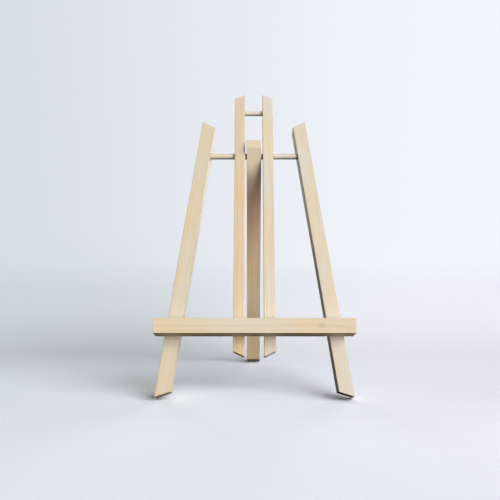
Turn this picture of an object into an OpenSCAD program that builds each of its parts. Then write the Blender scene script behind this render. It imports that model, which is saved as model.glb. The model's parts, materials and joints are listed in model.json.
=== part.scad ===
// Folding wooden plate display stand: a leaning front frame with a ledge, and a hinged rear leg.
// Units are millimetres. The origin is on the table, under the middle of the stand's outline.
// X runs across the stand, +Y runs from the front to the rear foot, and +Z is up.

/* [Stance] */
// Height of the highest point above the table
overall_h = 305; // [280:1:340]
// Backward lean of the front frame from vertical, in degrees
lean = 19.5; // [15:0.1:25]
// Outward splay of each front leg from the frame's centre line, in degrees
splay = 7.6; // [5:0.1:9]
// Backward slope of the standing rear leg from vertical, in degrees
rear_slope = 18.3; // [15:0.1:24]

/* [Front legs] */
// Half the spread of the front legs, at their outer toes
foot_half = 92.5; // [88:0.5:100]
// Width of a leg, as seen from the front
leg_w = 14; // [12:0.5:16]
// Thickness of a leg, from front to back
leg_t = 16; // [12:0.5:20]
// Length of a leg's outer edge, measured up the slope
leg_l = 285; // [270:1:300]
// How much higher the foot cut is at its inner edge than at the outer toe
foot_rise = 4.7; // [0:0.1:8]
// How much lower the top cut is at its inner edge than at its outer edge
leg_top_drop = 6.8; // [0:0.1:10]

/* [Uprights] */
// Width of an upright, as seen from the front
upright_w = 11; // [9:0.5:13]
// Thickness of an upright, from front to back
upright_t = 10; // [9:0.5:14]
// Gap between the two uprights
upright_gap = 18.5; // [17.5:0.5:22]
// Height of the uprights' lower tips, measured up the slope
upright_base = 36.5; // [20:0.5:45]
// How much higher the lower mitre is at its outer edge
upright_base_rise = 5.3; // [0:0.1:8]
// How much lower the upper mitre is at its outer edge
upright_top_drop = 5; // [0:0.1:8]

/* [Ledge] */
// Width of the ledge
ledge_w = 187; // [180:1:200]
// Depth of the ledge, out from the frame's front
ledge_d = 20; // [16:0.5:26]
// Height of the ledge bar
ledge_h = 14; // [12:0.5:18]
// Height of the ledge's underside, measured up the slope
ledge_base = 55.7; // [50:0.1:65]

/* [Rear leg] */
// Width of the rear leg, as seen from the front
rear_w = 15.2; // [13:0.1:16.5]
// Thickness of the rear leg
rear_t = 10; // [9:0.5:12]
// Length of the rear leg's front face above the hinge axis
rear_head = 10.8; // [8:0.1:15]
// Angle of the cut at the rear leg's top, in degrees from square
rear_head_cut = 30; // [0:0.5:35]
// Angle of the cut at the rear leg's foot, in degrees from square
rear_foot_cut = 40; // [30:0.5:45]

/* [Dowels] */
// Diameter of the long dowel that joins the legs and carries the rear leg
pivot_d = 6; // [5:0.5:6.5]
// Height of the long dowel's axis, measured up the slope
pivot_at = 246.4; // [240:0.1:255]
// Diameter of the short dowel between the uprights
top_d = 5; // [4:0.5:6]
// Height of the short dowel's axis, measured up the slope
top_at = 297.6; // [294:0.1:302]
// Radial clearance of the rear leg's bore on the long dowel
bore_clearance = 0.05; // [0.02:0.01:0.1]

/* [Screws] */
// Shank diameter of the countersunk wood screws
screw_d = 3; // [2.5:0.5:3.5]
// Head diameter of the screws
screw_head_d = 5.8; // [5:0.1:6.5]
// Length of the two screws through the legs
leg_screw_l = 30; // [25:1:32]
// Length of the two screws through the uprights
upright_screw_l = 22; // [18:1:25]

/* [Hidden] */
$fn = 64;
BIRCH = "#e3cfa9";
BIRCH_SHADE = "#d9c29a";
STEEL = "#b9bcc0";
OVERCUT = 1;         // how far a cutting tool passes a face
COUNTERSINK = 0.2;   // how far a screw head sits below the wood
TIP_L = 4;           // length of a screw's point
RECESS_W = 0.8;      // width of each arm of a screw's cross recess
RECESS_L = 3;        // length of each arm of the recess
RECESS_DEPTH = 1.1;  // depth of the recess

// The toes' rear corners touch the table, so the frame's front face starts a little above it.
toe_lift = leg_t * sin(lean);
leg_across = leg_w / cos(splay);
upright_tip = (overall_h - toe_lift) / cos(lean);
dowel_depth = upright_t / 2;
upright_x = (upright_gap + upright_w) / 2;
screw_at = ledge_base + ledge_h / 2;
head_h = (screw_head_d - screw_d) / 2;

// Hinge axis of the rear leg, from the front toes.
hinge_y = pivot_at * sin(lean) + dowel_depth * cos(lean);
hinge_z = toe_lift + pivot_at * cos(lean) - dowel_depth * sin(lean);

// The rear leg's foot slants, so it stands on its heel. This is the heel's place along the leg, from the hinge.
heel_z = -(hinge_z + rear_t / 2 * sin(rear_slope)) / cos(rear_slope);

// The outline runs from the ledge or the toes to the heel.
ledge_front_y = ledge_base * sin(lean) - ledge_d * cos(lean);
outline_front = min(0, ledge_front_y);
outline_back = hinge_y + rear_t / 2 * cos(rear_slope) - heel_z * sin(rear_slope);
front_y = -(outline_front + outline_back) / 2;

// The outer and middle lines of a front leg, at a height up the slope.
function leg_outer(s) = foot_half - s * tan(splay);
function leg_middle(s) = leg_outer(s) - leg_across / 2;

// Places children in the frame's own axes: X across, Y in from the front face, Z up the slope.
module in_frame() {
    translate([0, front_y, toe_lift]) rotate([-lean, 0, 0]) children();
}

// Places children at the hinge: Z up along the rear leg, Y out of its back.
module in_rear_leg() {
    translate([0, front_y + hinge_y, hinge_z]) rotate([rear_slope, 0, 0]) children();
}

// A stick with its front outline in X and Z, and its thickness from the front face inwards.
module stick(thickness) {
    translate([0, thickness, 0]) rotate([90, 0, 0]) linear_extrude(thickness) children();
}

// A round bar across the frame, with its axis at the dowels' depth.
module cross_bar(at, d, length) {
    translate([0, dowel_depth, at]) rotate([0, 90, 0]) cylinder(d = d, h = length, center = true);
}

// The space of a countersunk screw driven forward from a stick's back face.
module screw_body(x, back, length) {
    seat = back - COUNTERSINK;
    translate([x, seat, screw_at]) rotate([90, 0, 0]) {
        cylinder(d1 = screw_head_d, d2 = screw_d, h = head_h);
        cylinder(d = screw_d, h = length - TIP_L);
        translate([0, 0, length - TIP_L]) cylinder(d1 = screw_d, d2 = 0, h = TIP_L);
    }
}

// The same space, open to the stick's back face, as the screw leaves it in the wood.
module screw_hole(x, back, length) {
    screw_body(x, back, length);
    translate([x, back + OVERCUT, screw_at]) rotate([90, 0, 0])
        cylinder(d = screw_head_d, h = OVERCUT + COUNTERSINK);
}

// The screw itself, with a cross recess in its head.
module screw(x, back, length) {
    difference() {
        screw_body(x, back, length);
        for (turn = [0, 90])
            translate([x, back - COUNTERSINK, screw_at]) rotate([0, turn, 0])
                translate([-RECESS_L / 2, -RECESS_DEPTH, -RECESS_W / 2])
                    cube([RECESS_L, RECESS_DEPTH + OVERCUT, RECESS_W]);
    }
}

// A front leg on the right side: a parallel stick, mitred so that it stands on its outer toe.
module leg_blank() {
    inner_foot = leg_outer(foot_rise) - leg_across;
    inner_top = leg_outer(leg_l - leg_top_drop) - leg_across;
    stick(leg_t) polygon([
        [leg_outer(0), 0],
        [leg_outer(leg_l), leg_l],
        [inner_top, leg_l - leg_top_drop],
        [inner_foot, foot_rise]
    ]);
}

module leg() {
    difference() {
        leg_blank();
        cross_bar(pivot_at, pivot_d, 2 * foot_half);
        screw_hole(leg_middle(screw_at), leg_t, leg_screw_l);
    }
}

// An upright on the right side: its inner edge is the longer one, with a mitre at each end.
module upright() {
    inner = upright_gap / 2;
    outer = inner + upright_w;
    difference() {
        stick(upright_t) polygon([
            [inner, upright_base],
            [outer, upright_base + upright_base_rise],
            [outer, upright_tip - upright_top_drop],
            [inner, upright_tip]
        ]);
        cross_bar(pivot_at, pivot_d, 2 * foot_half);
        cross_bar(top_at, top_d, 2 * foot_half);
        screw_hole(upright_x, upright_t, upright_screw_l);
    }
}

module left_leg() {
    color(BIRCH) in_frame() mirror([1, 0, 0]) leg();
}

module right_leg() {
    color(BIRCH) in_frame() leg();
}

module left_upright() {
    color(BIRCH) in_frame() mirror([1, 0, 0]) upright();
}

module right_upright() {
    color(BIRCH) in_frame() upright();
}

// The rear leg swings on the long dowel, between the uprights.
module rear_leg() {
    front = -rear_t / 2;
    back = rear_t / 2;
    color(BIRCH_SHADE) in_rear_leg() difference() {
        translate([-rear_w / 2, 0, 0]) rotate([90, 0, 90]) linear_extrude(rear_w) polygon([
            [front, heel_z + rear_t * tan(rear_foot_cut)],
            [back, heel_z],
            [back, rear_head + rear_t * tan(rear_head_cut)],
            [front, rear_head]
        ]);
        rotate([0, 90, 0]) cylinder(d = pivot_d + 2 * bore_clearance, h = 2 * rear_w, center = true);
    }
}

// The bar that the plate stands on, screwed to all four sticks from behind.
module ledge() {
    color(BIRCH) in_frame() difference() {
        translate([-ledge_w / 2, -ledge_d, ledge_base]) cube([ledge_w, ledge_d, ledge_h]);
        for (side = [0, 1]) mirror([side, 0, 0]) {
            screw_body(leg_middle(screw_at), leg_t, leg_screw_l);
            screw_body(upright_x, upright_t, upright_screw_l);
        }
    }
}

// The long dowel, trimmed flush with the legs' sloping outer sides.
module pivot_dowel() {
    low = pivot_at - pivot_d;
    high = pivot_at + pivot_d;
    color(BIRCH_SHADE) in_frame() intersection() {
        cross_bar(pivot_at, pivot_d, 2 * foot_half);
        stick(leg_t) polygon([
            [-leg_outer(low), low],
            [leg_outer(low), low],
            [leg_outer(high), high],
            [-leg_outer(high), high]
        ]);
    }
}

// The short dowel, flush with the uprights' outer sides.
module top_dowel() {
    color(BIRCH_SHADE) in_frame() cross_bar(top_at, top_d, upright_gap + 2 * upright_w);
}

module leg_screws() {
    color(STEEL) in_frame() for (side = [0, 1]) mirror([side, 0, 0])
        screw(leg_middle(screw_at), leg_t, leg_screw_l);
}

module upright_screws() {
    color(STEEL) in_frame() for (side = [0, 1]) mirror([side, 0, 0])
        screw(upright_x, upright_t, upright_screw_l);
}

left_leg();
right_leg();
left_upright();
right_upright();
rear_leg();
ledge();
pivot_dowel();
top_dowel();
leg_screws();
upright_screws();
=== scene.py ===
"""Looks for the plate display stand: sanded pale wood sticks, dowels and screws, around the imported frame."""

import json
import math

import bmesh
import bpy
import numpy as np
from mathutils import Matrix, Vector


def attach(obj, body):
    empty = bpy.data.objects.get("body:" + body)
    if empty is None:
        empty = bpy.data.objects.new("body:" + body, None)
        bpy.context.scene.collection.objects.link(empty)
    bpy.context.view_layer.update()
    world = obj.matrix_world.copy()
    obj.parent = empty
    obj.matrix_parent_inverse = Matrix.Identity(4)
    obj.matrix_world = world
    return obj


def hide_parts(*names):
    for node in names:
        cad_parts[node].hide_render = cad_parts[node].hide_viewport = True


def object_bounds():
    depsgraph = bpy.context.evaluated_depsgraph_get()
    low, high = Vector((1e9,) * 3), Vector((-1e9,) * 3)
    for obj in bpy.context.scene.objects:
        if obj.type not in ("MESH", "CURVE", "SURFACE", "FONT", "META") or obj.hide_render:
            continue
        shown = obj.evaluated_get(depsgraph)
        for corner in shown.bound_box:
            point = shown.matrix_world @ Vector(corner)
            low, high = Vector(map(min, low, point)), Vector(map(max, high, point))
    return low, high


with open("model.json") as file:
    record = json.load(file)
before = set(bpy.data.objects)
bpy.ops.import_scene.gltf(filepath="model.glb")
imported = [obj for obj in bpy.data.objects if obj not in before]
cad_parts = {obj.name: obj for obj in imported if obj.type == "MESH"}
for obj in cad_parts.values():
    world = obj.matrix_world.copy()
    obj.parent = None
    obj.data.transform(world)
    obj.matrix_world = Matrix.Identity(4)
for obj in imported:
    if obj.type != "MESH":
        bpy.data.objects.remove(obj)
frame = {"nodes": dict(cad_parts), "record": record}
cad_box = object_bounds()
MM = 0.001

# ---------------------------------------------------------------- node helpers


class Graph:
    """A material's or world's node tree, built one value at a time."""

    def __init__(self, owner):
        owner.use_nodes = True
        self.tree = owner.node_tree
        self.tree.nodes.clear()

    def add(self, kind, settings=None, **inputs):
        """A node with its settings and inputs. An input is a socket or a value. Its name has _ for a space."""
        node = self.tree.nodes.new(kind)
        for key, value in (settings or {}).items():
            setattr(node, key, value)
        for key, value in inputs.items():
            self.feed(node.inputs[key.replace("_", " ")], value)
        return node

    def feed(self, socket, value):
        if isinstance(value, bpy.types.NodeSocket):
            self.tree.links.new(value, socket)
        else:
            socket.default_value = value

    def math(self, operation, a, b=0.0, clamp=False):
        node = self.tree.nodes.new("ShaderNodeMath")
        node.operation = operation
        node.use_clamp = clamp
        self.feed(node.inputs[0], a)
        self.feed(node.inputs[1], b)
        return node.outputs[0]

    def hypotenuse(self, x, y, extra=0.0):
        """The root of x squared, y squared and an extra square together."""
        squares = self.math("ADD", self.math("POWER", x, 2), self.math("POWER", y, 2))
        return self.math("SQRT", self.math("ADD", squares, extra))

    def vector(self, operation, a, b):
        node = self.tree.nodes.new("ShaderNodeVectorMath")
        node.operation = operation
        self.feed(node.inputs[0], a)
        self.feed(node.inputs[1], b)
        return node.outputs["Vector"]

    def length(self, vector):
        node = self.add("ShaderNodeVectorMath", {"operation": "LENGTH"})
        self.feed(node.inputs[0], vector)
        return node.outputs["Value"]

    def in_mm(self, place):
        return self.vector("MULTIPLY", place, (1 / MM, 1 / MM, 1 / MM))

    def split(self, vector):
        return self.add("ShaderNodeSeparateXYZ", Vector=vector).outputs

    def triple(self, x, y, z):
        return self.add("ShaderNodeCombineXYZ", X=x, Y=y, Z=z).outputs[0]

    def grey(self, level):
        """A colour with the same level in each channel."""
        return self.triple(level, level, level)

    def coordinate(self, kind):
        return self.add("ShaderNodeTexCoord").outputs[kind]

    def attribute(self, name, output):
        return self.add("ShaderNodeAttribute", {"attribute_name": name}).outputs[output]

    def noise(self, vector, stretch, detail=2.0, roughness=0.5, output="Fac"):
        """Noise from 0 to 1 whose features are 1 / stretch across on each axis, in the vector's units."""
        stretched = self.vector("MULTIPLY", vector, stretch)
        node = self.add("ShaderNodeTexNoise", Vector=stretched, Scale=1.0, Detail=detail, Roughness=roughness)
        return node.outputs[output]

    def step(self, value, low, high):
        """A smooth step from 0 at low to 1 at high."""
        node = self.add("ShaderNodeMapRange", {"interpolation_type": "SMOOTHSTEP"}, Value=value)
        self.feed(node.inputs["From Min"], low)
        self.feed(node.inputs["From Max"], high)
        return node.outputs[0]

    def ramp(self, value, stops):
        """A curve through (place, level) stops, from 0 to 1."""
        node = self.add("ShaderNodeValToRGB", Fac=value)
        elements = node.color_ramp.elements
        while len(elements) < len(stops):
            elements.new(0.5)
        for element, (place, level) in zip(elements, stops):
            element.position = place
            element.color = (level, level, level, 1)
        return node.outputs["Color"]

    def curve(self, value, stops):
        """A smooth curve through (place, level) stops, with levels up to 2.

        Blender cuts a smooth ramp's levels off at 1, so the ramp holds half of each.
        """
        half = self.ramp(value, [(place, level / 2) for place, level in stops])
        half.node.color_ramp.interpolation = "CARDINAL"
        return self.math("MULTIPLY", half, 2)

    def mix(self, share, a, b, blend="MIX"):
        """Colour a where share is 0, and colour b where it is 1."""
        node = self.tree.nodes.new("ShaderNodeMix")
        node.data_type = "RGBA"
        node.blend_type = blend
        self.feed(node.inputs["Factor"], share)
        self.feed(node.inputs["A"], colour(a))
        self.feed(node.inputs["B"], colour(b))
        return node.outputs["Result"]

    def times(self, a, b):
        """Two colours multiplied."""
        return self.mix(1.0, a, b, "MULTIPLY")

    def shaders(self, share, a, b):
        """Shader a where share is 0, and shader b where it is 1."""
        node = self.add("ShaderNodeMixShader")
        for socket, value in zip(node.inputs, (share, a.outputs[0], b.outputs[0])):
            self.feed(socket, value)
        return node

    def seen_only(self, unseen, seen):
        """A shader for the camera, and another for every other ray."""
        return self.shaders(self.add("ShaderNodeLightPath").outputs["Is Camera Ray"], unseen, seen)


def colour(value):
    """An RGBA default from an RGB triple. A socket passes through."""
    return (*value, 1) if isinstance(value, tuple) and len(value) == 3 else value


# ---------------------------------------------------------------- materials


LIGHT_WOOD = (0.850, 0.720, 0.525)
WARM_WOOD = (0.800, 0.625, 0.420)
LATE_WOOD = (0.610, 0.450, 0.280)
FLECK = (0.400, 0.255, 0.130)
END_TONE = (0.930, 0.890, 0.830)
CREAM = (0.975, 1.015, 1.070)
PEACH = (1.030, 0.965, 0.870)
KNOT_TONE = (0.740, 0.660, 0.560)
WORN_TONE = (0.860, 0.780, 0.660)

# The wood's figure: how many features there are in each mm, two ways across the grain and then along it.
BENDS = (1 / 30, 1 / 30, 1 / 230)         # slow waves in the rings
UNEVENNESS = (1 / 14, 1 / 14, 1 / 90)     # in the rings' spacing
STRENGTHS = (1 / 22, 1 / 22, 1 / 260)     # where the rings show more
FIBRES = (1.6, 1.6, 0.022)
STREAKS = (0.30, 0.30, 0.0042)
PORES = (2.8, 2.8, 0.17)                  # short dashes on the long faces
PATCHES = (0.036, 0.036, 0.016)           # of cream and peach
END_PORES = (3.4, 3.4, 0.2)
RUBS = (0.5, 0.5, 0.06)                   # worn places along the edges

BEND_MM = (9, 9, 0)                       # how far the waves push the rings
UNEVEN_RINGS = 1.6                        # how many rings the spacing drifts
RING = [(0, 0.05), (0.5, 0.12), (0.86, 0.95), (0.95, 0.6), (1, 0.05)]   # one ring, from early to late wood

# How much each part of the figure shows, at full contrast.
RING_SHOWS = 0.42
STREAK_SHOWS = 0.55
PORE_SHOWS = 0.30
FIBRE_SHOWS = 0.22

EDGE_FROM = 0.84                          # where a face's edge begins, from 0 in its middle to 1
# Painted shade in corners, where a piece meets another piece or the table.
CORNER_SHADE = (6 * MM, 0.50)             # reach, and tone in the tightest corner


def painted_shade(g, reach, darkest, closed=0.1, clear=0.9, facing=None):
    """Painted shade: 1 on an open face, down to darkest in a corner with another piece or the table, reach metres
    across.

    closed and clear are the open shares of the sky where it is darkest and where it is gone. With facing, only what
    stands on that side counts.
    """
    near = g.add("ShaderNodeAmbientOcclusion", {"samples": 8}, Distance=reach)
    if facing:
        g.feed(near.inputs["Normal"], g.triple(*facing))
    open_share = g.step(near.outputs["AO"], closed, clear)
    return g.math("ADD", darkest, g.math("MULTIPLY", open_share, 1 - darkest))


def along_stick(g, place, tint):
    """The tint at a place along the stick: one colour, or a smooth change through (place, colour) stops."""
    if isinstance(tint, tuple):
        return tint
    tone = tint[0][1]
    for (low, _), (high, after) in zip(tint, tint[1:]):
        tone = g.mix(g.step(place, low, high), tone, after)
    return tone


def growth_rings(g, grain, ring_mm):
    """0 to 1 with the distance from the pith, bent by slow waves along the tree and stronger in places."""
    bend = g.vector("SUBTRACT", g.noise(grain, BENDS, output="Color"), (0.5, 0.5, 0.5))
    place = g.split(g.vector("ADD", grain, g.vector("MULTIPLY", bend, BEND_MM)))
    radius = g.hypotenuse(place["X"], place["Y"])
    drift = g.math("MULTIPLY", g.noise(grain, UNEVENNESS, detail=1), UNEVEN_RINGS)
    phase = g.math("ADD", g.math("DIVIDE", radius, ring_mm), drift)
    strength = g.step(g.noise(grain, STRENGTHS), 0.25, 0.75)
    return g.math("MULTIPLY", g.ramp(g.math("FRACT", phase), RING), strength)


def knot(g, grain, place, tone):
    """A small faint knot, its place in mm in the log, drawn out along the grain."""
    offset = g.vector("MULTIPLY", g.vector("SUBTRACT", grain, place), (1, 0.4, 0.6))
    spot = g.math("SUBTRACT", 1.0, g.step(g.length(offset), 0.6, 3.6))
    return g.mix(g.math("MULTIPLY", spot, 0.5), tone, g.times(tone, KNOT_TONE))


def wood(
    name, tint, ring_mm, contrast=0.8, knot_at=None, side_in_painted_shade=None, foot_cut_painted_light=1.0, shade=CORNER_SHADE,
    deep_shade=None,
):
    """Sanded raw wood, solid through the piece: rings round a pith, fibres along it, pores, and end grain.

    The tint is one colour, or colours from the stick's foot to its head as (place, colour), with -1 at the foot and
    1 at the head. The dark side is painted shade on one side: where across the section it begins and is full, with
    -1 at its left and 1 at its right, and its tones at the foot and the head. The foot end tone paints shade below 1
    and light above 1 on the cut at the foot. shade and deep_shade are the reach and darkest level of painted shade
    in corners, and of a wider painted shade on the upper half.
    """
    material = bpy.data.materials.new(name)
    g = Graph(material)
    grain = g.in_mm(g.attribute("grain", "Vector"))
    section = g.split(g.attribute("section", "Vector"))
    end = g.attribute("end_grain", "Fac")

    ring = growth_rings(g, grain, ring_mm)
    fibre = g.noise(grain, FIBRES, detail=5, roughness=0.6)
    streak = g.step(g.noise(grain, STREAKS, detail=3, roughness=0.55), 0.42, 0.75)
    pore = g.step(g.noise(grain, PORES), 0.64, 0.76)
    patch = g.step(g.noise(grain, PATCHES), 0.36, 0.66)

    tone = g.mix(g.math("MULTIPLY", ring, RING_SHOWS * contrast), LIGHT_WOOD, LATE_WOOD)
    tone = g.mix(g.math("MULTIPLY", streak, STREAK_SHOWS * contrast), tone, WARM_WOOD)
    tone = g.mix(g.math("MULTIPLY", pore, PORE_SHOWS * contrast), tone, FLECK)
    fibre_gain = g.math("MULTIPLY", fibre, FIBRE_SHOWS * contrast)
    tone = g.times(tone, g.grey(g.math("ADD", 1 - FIBRE_SHOWS / 2 * contrast, fibre_gain)))
    tone = g.times(tone, g.mix(patch, CREAM, PEACH))
    if knot_at:
        tone = knot(g, grain, knot_at, tone)
    tone = g.times(tone, along_stick(g, section["Z"], tint))
    # Painted shade on the side away from the light.
    if side_in_painted_shade:
        begins, full, foot_tone, head_tone = side_in_painted_shade
        side = g.mix(g.step(section["Z"], -1.0, 1.0), (foot_tone,) * 3, (head_tone,) * 3)
        tone = g.mix(g.step(section["X"], begins, full), tone, g.times(tone, side))

    # Sawn ends soak up light, and their pores are open. The cut at the foot gets painted light and shade of its own.
    speck = g.step(g.noise(grain, END_PORES), 0.55, 0.75)
    sawn = g.mix(g.math("MULTIPLY", ring, 0.5), g.times(tone, END_TONE), LATE_WOOD)
    sawn = g.mix(g.math("MULTIPLY", speck, 0.35), sawn, FLECK)
    tone = g.mix(g.math("MULTIPLY", end, 0.8), tone, sawn)
    at_foot = g.math("MULTIPLY", end, g.step(section["Z"], -0.88, -0.94))
    tone = g.mix(at_foot, tone, g.times(tone, (foot_cut_painted_light,) * 3))

    # Handled edges: a little darker and smoother, in patches along them.
    near_side, near_front = (g.step(g.math("ABSOLUTE", section[axis]), EDGE_FROM, 1.0) for axis in "XY")
    rub = g.step(g.noise(grain, RUBS, detail=3), 0.35, 0.7)
    worn = g.math("MULTIPLY", g.math("MULTIPLY", near_side, near_front), rub)
    tone = g.mix(g.math("MULTIPLY", worn, 0.5), tone, g.times(tone, WORN_TONE))
    # Painted shade in corners, and a wider painted shade on the upper half.
    tone = g.times(tone, g.grey(painted_shade(g, *shade)))
    if deep_shade:
        upper = g.step(section["Z"], -0.4, 0.1)
        tone = g.mix(upper, tone, g.times(tone, g.grey(painted_shade(g, *deep_shade))))

    rough = g.math("ADD", 0.50, g.math("MULTIPLY", fibre, 0.16))
    rough = g.math("ADD", rough, g.math("MULTIPLY", end, 0.16))
    rough = g.math("SUBTRACT", rough, g.math("MULTIPLY", worn, 0.12))

    height = g.math("ADD", g.math("MULTIPLY", fibre, 0.9), g.math("MULTIPLY", ring, 0.22))
    height = g.math("SUBTRACT", height, g.math("MULTIPLY", pore, 0.7))
    height = g.math("SUBTRACT", height, g.math("MULTIPLY", g.math("MULTIPLY", speck, end), 0.9))
    bump = g.add("ShaderNodeBump", Strength=0.35, Distance=0.12 * MM, Height=height)

    surface = g.add(
        "ShaderNodeBsdfPrincipled", Base_Color=tone, Roughness=rough, Normal=bump.outputs[0], Specular_IOR_Level=0.35
    )
    g.add("ShaderNodeOutputMaterial", Surface=surface.outputs[0])
    return material


# Zinc: clouds and turning marks, as features in each mm, and their colours.
ZINC_CLOUDS = (0.9, 0.9, 0.9)
ZINC_MARKS = (7, 0.8, 2.2)
DULL_ZINC = (0.50, 0.51, 0.54)
BRIGHT_ZINC = (0.72, 0.72, 0.71)
MARKED_ZINC = (0.36, 0.36, 0.38)


def screw_steel():
    """Bright zinc with fine turning marks, duller in patches."""
    material = bpy.data.materials.new("screw_zinc")
    g = Graph(material)
    point = g.in_mm(g.coordinate("Object"))
    cloud = g.noise(point, ZINC_CLOUDS, detail=4, roughness=0.6)
    mark = g.noise(point, ZINC_MARKS, detail=3)
    tone = g.mix(cloud, DULL_ZINC, BRIGHT_ZINC)
    tone = g.mix(g.math("MULTIPLY", g.step(mark, 0.5, 0.8), 0.4), tone, MARKED_ZINC)
    rough = g.math("ADD", 0.24, g.math("MULTIPLY", cloud, 0.22))
    bump = g.add("ShaderNodeBump", Strength=0.25, Distance=0.03 * MM, Height=mark)
    surface = g.add(
        "ShaderNodeBsdfPrincipled", Base_Color=tone, Metallic=1.0, Roughness=rough, Normal=bump.outputs[0]
    )
    g.add("ShaderNodeOutputMaterial", Surface=surface.outputs[0])
    return material


# ---------------------------------------------------------------- wooden pieces


WELD = 0.002 * MM       # points nearer than this are one point
FLAT = math.radians(0.5)
SHARP = math.radians(25)
DOWEL_ROUND = 0.4 * MM
RIM_ROUND = 0.2 * MM
RIM_EDGE = 2 * MM       # edges shorter than this are parts of a round rim
RIM_SEGMENTS = 2
EDGE_SEGMENTS = 3


def solid_of(node):
    """The CAD node's shape as one closed bmesh, with its flat faces whole."""
    shape = bmesh.new()
    shape.from_mesh(frame["nodes"][node].data)
    bmesh.ops.remove_doubles(shape, verts=shape.verts, dist=WELD)
    bmesh.ops.dissolve_limit(
        shape, angle_limit=FLAT, verts=shape.verts, edges=shape.edges, use_dissolve_boundaries=False
    )
    shape.normal_update()
    return shape


def stick_axes(shape):
    """(across, depth, along): along the longest edge, and depth out of the face that most faces front or back."""
    longest = max(shape.edges, key=lambda e: e.calc_length())
    along = (longest.verts[1].co - longest.verts[0].co).normalized()
    if along.x + along.z < 0:
        along.negate()
    flank = max(
        (f for f in shape.faces if abs(f.normal.dot(along)) < 0.01), key=lambda f: f.calc_area() * abs(f.normal.y)
    )
    depth = flank.normal.copy()
    if depth.y < 0:
        depth.negate()
    return along.cross(depth).normalized() * -1, depth, along


def round_edges(shape, edges, width, segments):
    bmesh.ops.bevel(
        shape, geom=list(edges), offset=width, offset_type="OFFSET", segments=segments, profile=0.5,
        affect="EDGES", clamp_overlap=True, loop_slide=True,
    )


def ease(shape, edge_round):
    """Rounds the rims of the holes, then the long and end edges, as sanding does."""
    sharp = [e for e in shape.edges if e.is_manifold and e.calc_face_angle(0) > SHARP]
    rims = [e for e in sharp if e.calc_length() < RIM_EDGE]
    edges = [e for e in sharp if e.calc_length() >= RIM_EDGE]
    if rims:
        round_edges(shape, rims, RIM_ROUND, RIM_SEGMENTS)
    edges = [e for e in edges if e.is_valid]
    if edges:
        round_edges(shape, edges, edge_round, EDGE_SEGMENTS)
    shape.normal_update()


def end_share(normal, along):
    """How far a face shows end grain: 1 if it is square to the grain, and 0 if it runs along it."""
    return min(1.0, max(0.0, abs(normal.dot(along)) * 1.6 - 0.4))


def write_attributes(mesh, axes, log_place):
    """Gives the mesh its place in the log, its place in the stick's section, and which faces are end grain."""
    basis = np.array([list(a) for a in axes])
    points = np.empty(len(mesh.vertices) * 3)
    mesh.vertices.foreach_get("co", points)
    local = points.reshape(-1, 3) @ basis.T
    low, high = local.min(0), local.max(0)
    middle = (low + high) / 2
    grain = mesh.attributes.new("grain", "FLOAT_VECTOR", "POINT")
    grain.data.foreach_set("vector", (local - middle + np.array(log_place) * MM).ravel())
    section = mesh.attributes.new("section", "FLOAT_VECTOR", "POINT")
    section.data.foreach_set("vector", ((local - middle) / (high - low) * 2).ravel())
    end_grain = mesh.attributes.new("end_grain", "FLOAT", "FACE")
    along = Vector(axes[2])
    end_grain.data.foreach_set("value", [end_share(p.normal, along) for p in mesh.polygons])


def add_object(name, shape):
    """A new object from a bmesh, which is used up."""
    mesh = bpy.data.meshes.new(name)
    shape.to_mesh(mesh)
    shape.free()
    made = bpy.data.objects.new(name, mesh)
    bpy.context.scene.collection.objects.link(made)
    return made


def add_piece(name, shape, material):
    piece = add_object(name, shape)
    mesh = piece.data
    mesh.polygons.foreach_set("use_smooth", [True] * len(mesh.polygons))
    mesh.materials.append(material)
    shading = piece.modifiers.new("even_shading", "WEIGHTED_NORMAL")
    shading.weight = 100
    shading.keep_sharp = False
    return piece


def wooden(name, node, body, material, log_place, edge_round):
    """A wooden piece made from its CAD node, with eased edges and its own place in the log."""
    shape = solid_of(node)
    axes = stick_axes(shape)
    ease(shape, edge_round)
    piece = add_piece(name, shape, material)
    write_attributes(piece.data, axes, log_place)
    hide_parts(node)
    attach(piece, body)


# The rear leg's stick is pale at its head, reddish below, and plainer towards its foot: partly its own tone, partly
# painted light on its head, which stands out in the light, and painted shade below it, between the uprights.
REAR_TONES_AND_PAINTED_LIGHT = [(-0.2, (1.02, 0.975, 0.88)), (0.50, (0.95, 0.765, 0.70)), (0.82, (1.10, 1.19, 1.33))]

# Name of the piece, CAD node, body, tint, then ring width, eased edge and place in the log in mm.
STICKS = [
    ("left_leg_stick", "left_leg", "frame", (0.975, 0.967, 0.954), 2.7, 0.45, (34, 22, 140)),
    ("right_leg_stick", "right_leg", "frame", (0.99, 1.052, 1.16), 2.4, 0.45, (-41, 30, 760)),
    ("left_upright_stick", "left_upright", "frame", (1.00, 0.92, 0.845), 3.0, 0.75, (18, -38, 1330)),
    ("right_upright_stick", "right_upright", "frame", (1.025, 1.06, 1.107), 2.6, 0.75, (-27, -44, 1910)),
    ("rear_leg_stick", "rear_leg", "rear_leg", REAR_TONES_AND_PAINTED_LIGHT, 2.5, 0.50, (48, -17, 2500)),
    ("ledge_bar", "ledge", "frame", (1.025, 1.007, 0.98), 3.2, 0.30, (-16, 52, 3120)),
]
KNOTS = {"ledge_bar": (-16, 42, 3182)}  # in the log, in mm
# Painted shade on the left side, away from the light: where it begins and is full, and then its tones at the foot
# and the head.
LEFT_SIDES_IN_PAINTED_SHADE = {
    "right_leg_stick": (-0.86, -1.0, 0.60, 0.27),
    "left_upright_stick": (-0.86, -1.0, 0.68, 0.68),
    "right_upright_stick": (-0.86, -1.0, 0.68, 0.68),
}
# Painted light and shade on the cut at the foot: below 1 darker, above 1 lighter. The others' cuts are as dark as
# the rest.
FOOT_CUT_PAINTED_LIGHT = {
    "left_leg_stick": 0.85,
    "right_leg_stick": 0.22,
    "left_upright_stick": 0.55,
    "right_upright_stick": 0.60,
    "rear_leg_stick": 1.5,
}
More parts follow.
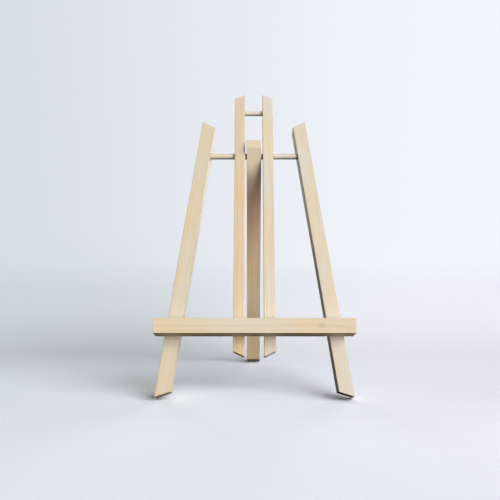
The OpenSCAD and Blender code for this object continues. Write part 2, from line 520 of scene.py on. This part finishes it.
# Painted shade in corners: its reach and darkest tone, and the same for a wider painted shade on the upper half,
# which on the rear leg is between the uprights and just behind them.
SHADES = {"rear_leg_stick": (6 * MM, 0.85)}
DEEP_SHADES = {"rear_leg_stick": (55 * MM, 0.05)}

# Name of the piece, CAD node, tint and place in the log in mm.
DOWELS = [
    ("long_dowel", "pivot_dowel", (1.06, 1.07, 1.12), (11, 6, 3800)),
    ("short_dowel", "top_dowel", (1.06, 1.08, 1.14), (-9, 8, 4300)),
]
DOWEL_RING_MM = 1.6
DOWEL_CONTRAST = 0.7
# Painted shade where a dowel meets the sticks: reach and darkest tone.
DOWEL_SHADE = (6 * MM, 0.12)
# Painted shade on a dowel's underside: where it begins and is full across the section, and its tones.
DOWEL_UNDERSIDE_SHADE = (0.35, 0.95, 0.36, 0.36)    # a dowel's dark side

for name, node, body, tint, ring_mm, edge_mm, log_place in STICKS:
    material = wood(
        name + "_wood", tint, ring_mm, knot_at=KNOTS.get(name), side_in_painted_shade=LEFT_SIDES_IN_PAINTED_SHADE.get(name),
        foot_cut_painted_light=FOOT_CUT_PAINTED_LIGHT.get(name, 1.0), shade=SHADES.get(name, CORNER_SHADE), deep_shade=DEEP_SHADES.get(name),
    )
    wooden(name, node, body, material, log_place, edge_mm * MM)

for name, node, tint, log_place in DOWELS:
    material = wood(
        name + "_wood", tint, DOWEL_RING_MM, DOWEL_CONTRAST, side_in_painted_shade=DOWEL_UNDERSIDE_SHADE, shade=DOWEL_SHADE
    )
    wooden(name, node, "frame", material, log_place, DOWEL_ROUND)


# ---------------------------------------------------------------- screws


PITCH = 1.2 * MM
TIP = 4 * MM
ROOT_SHARE = 0.72           # the thread's root against the shank
SMOOTH_SHARE = 0.35         # how much of the length has no thread
RINGS_IN_PITCH = 6          # rings of points
SIDES = 24                  # of a round screw
THREAD_SHARPNESS = 3.2      # the inverse of half the thread's share of a pitch
NARROWEST_TIP = 0.04        # against the full width
SHANK_FROM = 6 * MM         # below the head's face, where the CAD screw is as thick as its shank
RECESS_WIDTH = 0.8 * MM
RECESS_LENGTH = 3.2 * MM
RECESS_DEPTH = 1.1 * MM
RECESS_BOTTOM = (0.45, 0.7)  # its length and width at the deep end of the cutter, against its other end
SCREW_CREASE = math.radians(35)


def lathe(shape, outline):
    """Turns (height, radius function) rings into a closed skin round Z. A radius function takes the angle."""
    rings = []
    for height, radius in outline:
        ring = []
        for i in range(SIDES):
            angle = 2 * math.pi * i / SIDES
            r = radius(angle)
            ring.append(shape.verts.new((r * math.cos(angle), r * math.sin(angle), height)))
        rings.append(ring)
    for low, high in zip(rings, rings[1:]):
        for i in range(SIDES):
            j = (i + 1) % SIDES
            shape.faces.new((low[i], low[j], high[j], high[i]))
    shape.faces.new(list(reversed(rings[0])))
    shape.faces.new(rings[-1])


def threaded_screw(length, shank, head):
    """A countersunk wood screw along +Z from the head's flat face, with its thread cut into the shank's size."""
    shank_r, head_r = shank / 2, head / 2
    root = shank_r * ROOT_SHARE
    smooth_until = length * SMOOTH_SHARE

    def plain(r):
        return lambda angle: r

    def thread(height):
        taper = min(1.0, max(NARROWEST_TIP, (length - height) / TIP))
        grow = min(1.0, (height - smooth_until) / (2 * PITCH))

        def radius(angle):
            phase = (height / PITCH - angle / (2 * math.pi)) % 1.0
            crest = max(0.0, 1 - abs(phase - 0.5) * THREAD_SHARPNESS)
            return (root + (shank_r - root) * crest * grow) * taper

        return radius

    outline = [
        (0, plain(head_r - 0.12 * MM)),
        (0.06 * MM, plain(head_r - 0.02 * MM)),
        (0.12 * MM, plain(head_r - 0.08 * MM)),
        (head_r - shank_r, plain(shank_r)),
        (smooth_until - 0.3 * MM, plain(shank_r - 0.05 * MM)),
        (smooth_until, plain(root)),
    ]
    steps = int((length - smooth_until) / (PITCH / RINGS_IN_PITCH))
    for i in range(1, steps + 1):
        height = smooth_until + (length - smooth_until) * i / steps
        outline.append((height, thread(height)))
    shape = bmesh.new()
    lathe(shape, outline)
    return shape


def cut_cross(piece):
    """Cuts a tapered cross recess into the head, at the piece's own origin, and keeps the result in the mesh."""
    shape = bmesh.new()
    for turn in (0, 90):
        made = bmesh.ops.create_cube(shape, size=1)["verts"]
        for v in made:
            along, across = RECESS_BOTTOM if v.co.z > 0 else (1.0, 1.0)
            x, y, z = v.co
            v.co = (x * RECESS_LENGTH * along, y * RECESS_WIDTH * across, z * 2 * RECESS_DEPTH)
        turned = Matrix.Rotation(math.radians(turn), 3, "Z")
        bmesh.ops.rotate(shape, verts=made, cent=(0, 0, 0), matrix=turned)
    cutter = add_object("cross_cutter", shape)
    cut = piece.modifiers.new("cross", "BOOLEAN")
    cut.operation = "DIFFERENCE"
    cut.solver = "EXACT"
    cut.use_self = True
    cut.object = cutter
    bpy.context.view_layer.update()
    done = bpy.data.meshes.new_from_object(piece.evaluated_get(bpy.context.evaluated_depsgraph_get()))
    piece.modifiers.clear()
    piece.data = done
    bpy.data.objects.remove(cutter)


def seated_screws(name, node, drive, material):
    """One screw for each solid of the CAD node, its head at the back of the frame and its point to the front."""
    points = np.array([v.co for v in frame["nodes"][node].data.vertices])
    upright = Vector((0, 0, 1)).rotation_difference(drive).to_matrix().to_4x4()
    for side, chosen in (("left", points[points[:, 0] < 0]), ("right", points[points[:, 0] > 0])):
        reach = chosen @ np.array(drive)
        start = reach.min()
        head_face = chosen[reach < start + 0.01 * MM]
        head = np.ptp(chosen[:, 0])
        shank = np.ptp(chosen[reach > start + SHANK_FROM][:, 0])
        piece = add_piece(f"{name}_{side}", threaded_screw(reach.max() - start, shank, head), material)
        cut_cross(piece)
        place = upright.copy()
        place.translation = Vector((head_face.min(0) + head_face.max(0)) / 2)
        piece.data.transform(place)
        piece.data.set_sharp_from_angle(angle=SCREW_CREASE)
        yield piece


up_slope = next(Vector(m["axis"]) for m in frame["record"]["mounts"] if m["name"] == "ledge_top").normalized()
out_of_front = Vector((0, -up_slope.z, up_slope.y))  # square to the frame's front face
zinc = screw_steel()
for name, node in (("leg_screw", "leg_screws"), ("upright_screw", "upright_screws")):
    for piece in seated_screws(name, node, out_of_front, zinc):
        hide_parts(node)
        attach(piece, "frame")


# ---------------------------------------------------------------- stage, light and camera


# Painted light on the backdrop and the floor: darker to the left, lighter to the right.
BACKDROP_LEFT = (0.658, 0.726, 0.755)
BACKDROP_RIGHT = (0.895, 0.914, 0.972)
BACKDROP_MIDDLE = -0.09      # the middle of the change, as a sideways share
FLOOR_LEFT = (0.667, 0.722, 0.738)
FLOOR_RIGHT = (0.910, 0.888, 0.953)
FLOOR_MIDDLE = -0.04
TONE_CHANGE = 0.46           # from the middle of the change to where it ends
UNSEEN_FLOOR = (0.06, 0.06, 0.065)   # what the floor gives back to the stand

FLOOR_RADIUS = 40            # metres
FLOOR_SIDES = 96
FLOOR_ENDS = (1.0, 2.6)      # metres out: where the floor starts to turn into the backdrop, and where it has
VIEW_REACH = 0.6             # metres: softens the sideways share near the stand
OPEN_FLOOR = 0.565           # light that reaches the open floor, as a share of white
PAPER_GRAIN = (0.5, 0.5, 0.5)
LEVELS_CHANGE = (-0.22, 0.0)  # the sideways shares between which the left levels turn into the right ones

# The floor's painted light and shade, in soft bands: metres behind the stand's middle, then the level at the left
# and at the right.
PAINTED_FLOOR_LEVELS = [
    (-0.40, 1.14, 1.02), (-0.26, 1.105, 1.01), (-0.19, 1.08, 1.00), (-0.14, 1.05, 0.97), (-0.09, 1.02, 0.93),
    (-0.03, 1.04, 0.891), (0.04, 1.01, 0.888), (0.12, 0.893, 0.878), (0.20, 0.914, 0.915), (0.30, 0.929, 0.963),
    (0.52, 0.968, 1.0), (1.20, 1.0, 1.0), (2.00, 1.0, 1.0),
]
# A painted cool tint where the stand's shade falls on the floor.
COOL_SHADE = (0.965, 0.995, 1.050)   # the floor's tone in the shade under the stand
COOL_MIDDLE = (0.02, 0.0, 0)         # where that shade is
COOL_ENDS = (0.07, 0.15)             # metres from its middle
# Painted shade on the floor, right under edges and beside each foot.
TO_LIGHT = (0.70, -0.68, 0.20)       # each foot shades the floor on the side away from this
FOOT_SHADE = (24 * MM, 0.20)         # reach, and the darkest tone
CONTACT_SHADE = (3 * MM, 0.5)        # the same, right under an edge

# Azimuth, half width, bottom and top in degrees, and brightness. Azimuth 0 is in front of the stand and 90 to its
# right.
WINDOWS = [
    (41, 21, -1, 12, 8.7),     # bright wall low at the right front
    (41, 21, 12, 24, 1.9),
    (41, 21, 24, 47, 4.8),     # window above it
    (70, 8, 12, 36, 5.6),      # its side, further right
    (10, 10, 12, 36, 2.0),     # fill beside the camera
    (-150, 11, -1, 15, 7.5),   # rim light behind, on the left
    (143, 14, -1, 14, 9.5),    # rim light behind, on the right
]
SIDE_BLUR = 2                  # degrees: half the width of a window's soft edge
END_BLUR = 1
FRONT_FILL = (0.118, 0.133, 0.152)
BACK_FILL = (0.022, 0.025, 0.028)

CAMERA_BACK = 0.52604     # from the front of the stand to the camera
CAMERA_HEIGHT = 0.15884
CAMERA_LEFT = 0.00415
CAMERA_DIP = 2.0          # degrees below level
LENS = 41.67


def sideways_tone(g, sideways, left, right, middle):
    """The studio's pale tone, with painted light from the right: cooler and darker to the left, lighter to the
    right.
    """
    return g.mix(g.step(sideways, middle - TONE_CHANGE, middle + TONE_CHANGE), left, right)


def backdrop_tone(g, sideways):
    return sideways_tone(g, sideways, BACKDROP_LEFT, BACKDROP_RIGHT, BACKDROP_MIDDLE)


def painted_floor_light(g, sideways, behind):
    """Painted light and shade in soft bands across the floor."""
    near, far = PAINTED_FLOOR_LEVELS[0][0], PAINTED_FLOOR_LEVELS[-1][0]
    depth = g.math("DIVIDE", g.math("SUBTRACT", behind, near), far - near, clamp=True)
    left, right = (
        g.curve(depth, [((stop[0] - near) / (far - near), stop[side]) for stop in PAINTED_FLOOR_LEVELS]) for side in (1, 2)
    )
    return g.mix(g.step(sideways, *LEVELS_CHANGE), left, right)


def floor_material():
    """Matt pale paper, with painted light and shade, darker under the stand. It meets the backdrop's tone further
    out.
    """
    material = bpy.data.materials.new("paper_floor")
    material.cycles.emission_sampling = "NONE"  # its far part is only seen, and lights nothing
    g = Graph(material)
    point = g.coordinate("Object")
    place = g.split(point)
    reach = g.hypotenuse(place["X"], place["Y"], VIEW_REACH ** 2)
    sideways = g.math("DIVIDE", place["X"], reach)
    paper = g.noise(g.in_mm(point), PAPER_GRAIN, detail=3)
    # Painted light and shade in bands across the floor.
    level = painted_floor_light(g, sideways, place["Y"])
    level = g.math("MULTIPLY", level, g.math("ADD", 0.985, g.math("MULTIPLY", paper, 0.03)))
    # Painted shade right under edges and beside each foot, on the side away from the light.
    level = g.math("MULTIPLY", g.math("DIVIDE", level, OPEN_FLOOR), painted_shade(g, *CONTACT_SHADE))
    level = g.math("MULTIPLY", level, painted_shade(g, *FOOT_SHADE, closed=0.48, clear=0.86, facing=TO_LIGHT))
    lit = g.times(sideways_tone(g, sideways, FLOOR_LEFT, FLOOR_RIGHT, FLOOR_MIDDLE), g.grey(level))
    # A painted cool tint in the shade under the stand.
    from_shade = g.length(g.vector("SUBTRACT", point, COOL_MIDDLE))
    lit = g.times(lit, g.mix(g.step(from_shade, *COOL_ENDS), COOL_SHADE, (1, 1, 1)))
    paper_near = g.add("ShaderNodeBsdfDiffuse", Color=lit)
    paper_far = g.add("ShaderNodeEmission", Color=backdrop_tone(g, sideways))
    seen = g.shaders(g.step(reach, *FLOOR_ENDS), paper_near, paper_far)
    unseen = g.add("ShaderNodeBsdfDiffuse", Color=colour(UNSEEN_FLOOR))
    g.add("ShaderNodeOutputMaterial", Surface=g.seen_only(unseen, seen).outputs[0])
    return material


def window(g, direction, azimuth, half_width, bottom, top):
    """1 where a direction meets a soft-edged window far away, and 0 elsewhere."""
    a = math.radians(azimuth)
    x, y, z = (g.split(direction)[axis] for axis in "XYZ")
    ahead = g.math("SUBTRACT", g.math("MULTIPLY", x, math.sin(a)), g.math("MULTIPLY", y, math.cos(a)))
    turn = g.math("DIVIDE", ahead, g.math("MAXIMUM", g.hypotenuse(x, y), 0.001))
    outer, inner = (math.cos(math.radians(half_width + blur)) for blur in (SIDE_BLUR, -SIDE_BLUR))
    below_top = g.step(z, *(math.sin(math.radians(top + blur)) for blur in (END_BLUR, -END_BLUR)))
    above_bottom = g.step(z, *(math.sin(math.radians(bottom + blur)) for blur in (-END_BLUR, END_BLUR)))
    return g.math("MULTIPLY", g.math("MULTIPLY", g.step(turn, outer, inner), below_top), above_bottom)


def build_world():
    """The camera sees the backdrop. The stand is lit by the windows and a weak even fill."""
    world = bpy.data.worlds.new("studio")
    bpy.context.scene.world = world
    g = Graph(world)
    direction = g.coordinate("Generated")
    place = g.split(direction)
    seen = g.add("ShaderNodeBackground", Color=backdrop_tone(g, place["X"]), Strength=1.0)
    level = 0.0
    for *box, brightness in WINDOWS:
        level = g.math("ADD", level, g.math("MULTIPLY", window(g, direction, *box), brightness))
    fill = g.mix(g.step(place["Y"], -0.3, 0.3), FRONT_FILL, BACK_FILL)
    light = g.add("ShaderNodeBackground", Color=g.vector("ADD", g.grey(level), fill), Strength=1.0)
    g.add("ShaderNodeOutputWorld", Surface=g.seen_only(light, seen).outputs[0])


def build_floor():
    shape = bmesh.new()
    bmesh.ops.create_circle(shape, cap_ends=True, segments=FLOOR_SIDES, radius=FLOOR_RADIUS)
    floor = add_object("studio_floor", shape)
    floor.data.materials.append(floor_material())


def place_camera():
    low, _ = cad_box
    lens = bpy.data.cameras.new("photo_view")
    lens.lens = LENS
    lens.sensor_width = 36
    lens.clip_start = 0.01
    lens.clip_end = 100
    camera = bpy.data.objects.new("photo_view", lens)
    camera.location = (-CAMERA_LEFT, low.y - CAMERA_BACK, CAMERA_HEIGHT)
    camera.rotation_euler = (math.radians(90 - CAMERA_DIP), 0, 0)
    bpy.context.scene.collection.objects.link(camera)
    bpy.context.scene.camera = camera


build_floor()
build_world()
place_camera()
bpy.context.scene.view_settings.view_transform = "Standard"
